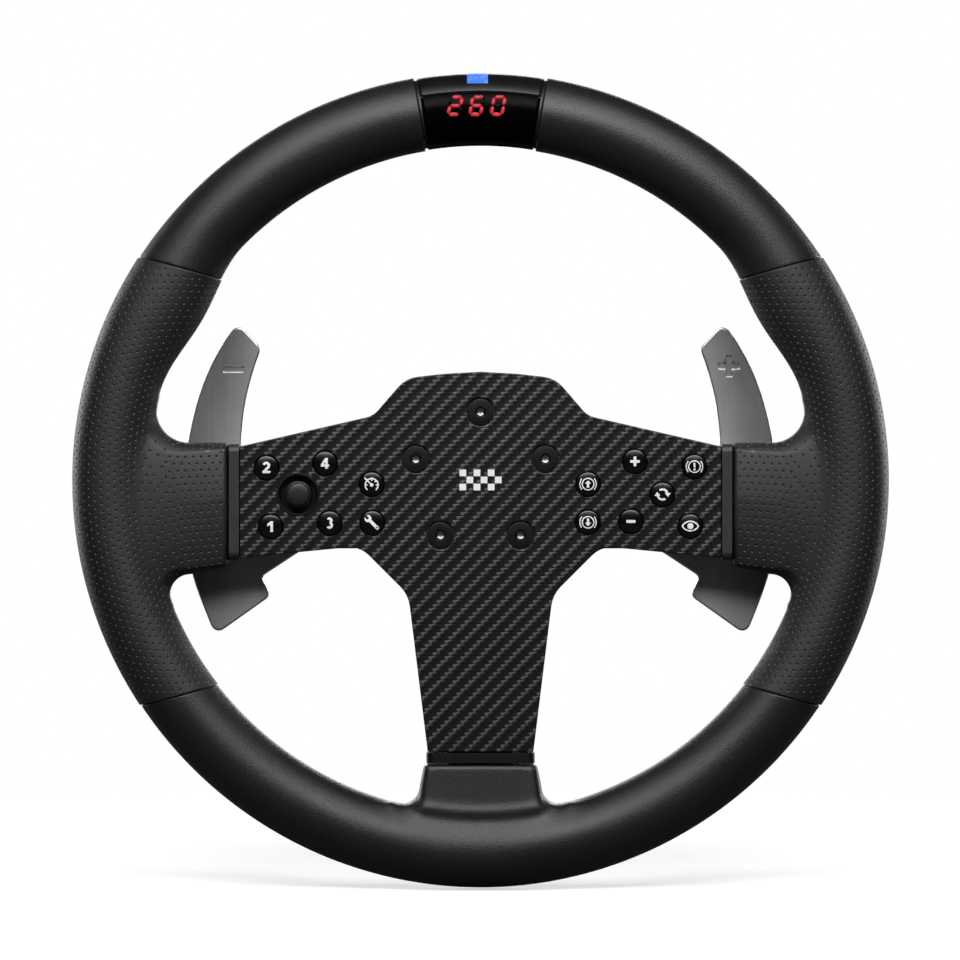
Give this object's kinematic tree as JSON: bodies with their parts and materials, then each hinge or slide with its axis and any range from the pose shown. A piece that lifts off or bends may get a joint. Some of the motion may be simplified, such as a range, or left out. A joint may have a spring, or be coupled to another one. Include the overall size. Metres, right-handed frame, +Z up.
{
  "type": "racing wheel",
  "caption": "Round three-spoke racing wheel for a home driving rig, with thumb buttons, small joystick, speed display, shifter paddles and quick-release socket.",
  "frame": {"origin": "middle of the quick-release socket's mouth, on the steering axis", "axes": "+Y along the steering axis, away from the driver; +Z up; +X to the driver's right"},
  "size_m": [0.3006, 0.0845, 0.2998],
  "materials": {
    "smooth_grip": "soft grained rubberised skin",
    "perforated_grip": "matt perforated skin",
    "steel_core": "plain steel",
    "pod_plastic": "matt textured",
    "dark_window": "polished dark window",
    "red_digits": "LED digits",
    "blue_light": "glowing lens",
    "board_green": "solder mask",
    "weave_plate": "2x2 twill under clear coat",
    "cover_plastic": "fine moulded texture",
    "switch_grey": "plain",
    "black_screws": "black oxide",
    "bright_steel": "zinc plated",
    "cap_black": "satin black",
    "release_body": "black anodised",
    "release_ring": "bead blasted",
    "connector_ivory": "plain",
    "pin_gold": "gold plated",
    "paddle_metal": "bead blasted, bright edge"
  },
  "bodies": {
    "wheel": {"rim_core": "steel_core", "rim_upper_left": "smooth_grip", "rim_upper_right": "smooth_grip", "rim_lower": "smooth_grip", "grip_left": "perforated_grip", "grip_right": "perforated_grip", "display_housing": "pod_plastic", "display_window": "dark_window", "display_digits": "red_digits", "display_board": "board_green", "display_light": "blue_light", "face_plate": "weave_plate", "rear_cover": "cover_plastic", "main_board": "board_green", "tact_switches": "switch_grey", "spoke_collar_left": "cover_plastic", "spoke_collar_right": "cover_plastic", "spoke_collar_bottom": "cover_plastic", "hub_screws": "black_screws", "cover_screws": "bright_steel", "shifter_base_left": "cover_plastic", "shifter_base_right": "cover_plastic", "shifter_pins": "bright_steel", "shifter_switches": "switch_grey", "shifter_base_screws": "bright_steel", "joystick_base": "cover_plastic", "joystick_ring": "cap_black", "quick_release_body": "release_body", "quick_release_spring": "bright_steel", "quick_release_balls": "bright_steel", "retaining_ring": "bright_steel", "connector_block": "connector_ivory", "connector_pins": "pin_gold"},
    "press_1": {"button_1": "cap_black"},
    "press_2": {"button_2": "cap_black"},
    "press_3": {"button_3": "cap_black"},
    "press_4": {"button_4": "cap_black"},
    "press_limiter": {"button_limiter": "cap_black"},
    "press_wrench": {"button_wrench": "cap_black"},
    "press_up": {"button_up": "cap_black"},
    "press_down": {"button_down": "cap_black"},
    "press_plus": {"button_plus": "cap_black"},
    "press_minus": {"button_minus": "cap_black"},
    "press_alert": {"button_alert": "cap_black"},
    "press_cycle": {"button_cycle": "cap_black"},
    "press_eye": {"button_eye": "cap_black"},
    "stick_cradle": {"joystick_gimbal": "bright_steel"},
    "stick_lever": {"joystick_stick": "bright_steel"},
    "stick_button": {"joystick_cap": "cap_black"},
    "paddle_left": {"paddle_arm_left": "cover_plastic", "paddle_blade_left": "paddle_metal", "paddle_screws_left": "bright_steel"},
    "paddle_right": {"paddle_arm_right": "cover_plastic", "paddle_blade_right": "paddle_metal", "paddle_screws_right": "bright_steel"},
    "release_ring": {"quick_release_ring": "release_ring"}
  },
  "joints": [
    {"name": "press_1", "type": "slide", "parent": "wheel", "child": "press_1", "axis": [0, 1, 0], "range_m": [0, 0.0008], "stiffness_N_per_m": 700},
    {"name": "press_2", "type": "slide", "parent": "wheel", "child": "press_2", "axis": [0, 1, 0], "range_m": [0, 0.0008], "stiffness_N_per_m": 700},
    {"name": "press_3", "type": "slide", "parent": "wheel", "child": "press_3", "axis": [0, 1, 0], "range_m": [0, 0.0008], "stiffness_N_per_m": 700},
    {"name": "press_4", "type": "slide", "parent": "wheel", "child": "press_4", "axis": [0, 1, 0], "range_m": [0, 0.0008], "stiffness_N_per_m": 700},
    {"name": "press_limiter", "type": "slide", "parent": "wheel", "child": "press_limiter", "axis": [0, 1, 0], "range_m": [0, 0.0008], "stiffness_N_per_m": 700},
    {"name": "press_wrench", "type": "slide", "parent": "wheel", "child": "press_wrench", "axis": [0, 1, 0], "range_m": [0, 0.0008], "stiffness_N_per_m": 700},
    {"name": "press_up", "type": "slide", "parent": "wheel", "child": "press_up", "axis": [0, 1, 0], "range_m": [0, 0.0008], "stiffness_N_per_m": 700},
    {"name": "press_down", "type": "slide", "parent": "wheel", "child": "press_down", "axis": [0, 1, 0], "range_m": [0, 0.0008], "stiffness_N_per_m": 700},
    {"name": "press_plus", "type": "slide", "parent": "wheel", "child": "press_plus", "axis": [0, 1, 0], "range_m": [0, 0.0008], "stiffness_N_per_m": 700},
    {"name": "press_minus", "type": "slide", "parent": "wheel", "child": "press_minus", "axis": [0, 1, 0], "range_m": [0, 0.0008], "stiffness_N_per_m": 700},
    {"name": "press_alert", "type": "slide", "parent": "wheel", "child": "press_alert", "axis": [0, 1, 0], "range_m": [0, 0.0008], "stiffness_N_per_m": 700},
    {"name": "press_cycle", "type": "slide", "parent": "wheel", "child": "press_cycle", "axis": [0, 1, 0], "range_m": [0, 0.0008], "stiffness_N_per_m": 700},
    {"name": "press_eye", "type": "slide", "parent": "wheel", "child": "press_eye", "axis": [0, 1, 0], "range_m": [0, 0.0008], "stiffness_N_per_m": 700},
    {"name": "stick_up_down", "type": "hinge", "parent": "wheel", "child": "stick_cradle", "pos_m": [-0.0669, -0.07, -0.0053], "axis": [1, 0, 0], "range_deg": [-8, 8], "stiffness_Nm_per_rad": 0.02},
    {"name": "stick_left_right", "type": "hinge", "parent": "stick_cradle", "child": "stick_lever", "pos_m": [-0.0669, -0.07, -0.0053], "axis": [0, 0, 1], "range_deg": [-8, 8], "stiffness_Nm_per_rad": 0.02},
    {"name": "stick_press", "type": "slide", "parent": "stick_lever", "child": "stick_button", "axis": [0, 1, 0], "range_m": [0, 0.0005], "stiffness_N_per_m": 900},
    {"name": "paddle_pull_left", "type": "hinge", "parent": "wheel", "child": "paddle_left", "pos_m": [-0.053, -0.0464, -0.008], "axis": [0, 0, 1], "range_deg": [0, 4], "stiffness_Nm_per_rad": 1.2},
    {"name": "paddle_pull_right", "type": "hinge", "parent": "wheel", "child": "paddle_right", "pos_m": [0.053, -0.0464, -0.008], "axis": [0, 0, 1], "range_deg": [-4, 0], "stiffness_Nm_per_rad": 1.2},
    {"name": "release_slide", "type": "slide", "parent": "wheel", "child": "release_ring", "axis": [0, -1, 0], "range_m": [0, 0.006], "stiffness_N_per_m": 900, "deforming": ["quick_release_spring"]}
  ]
}
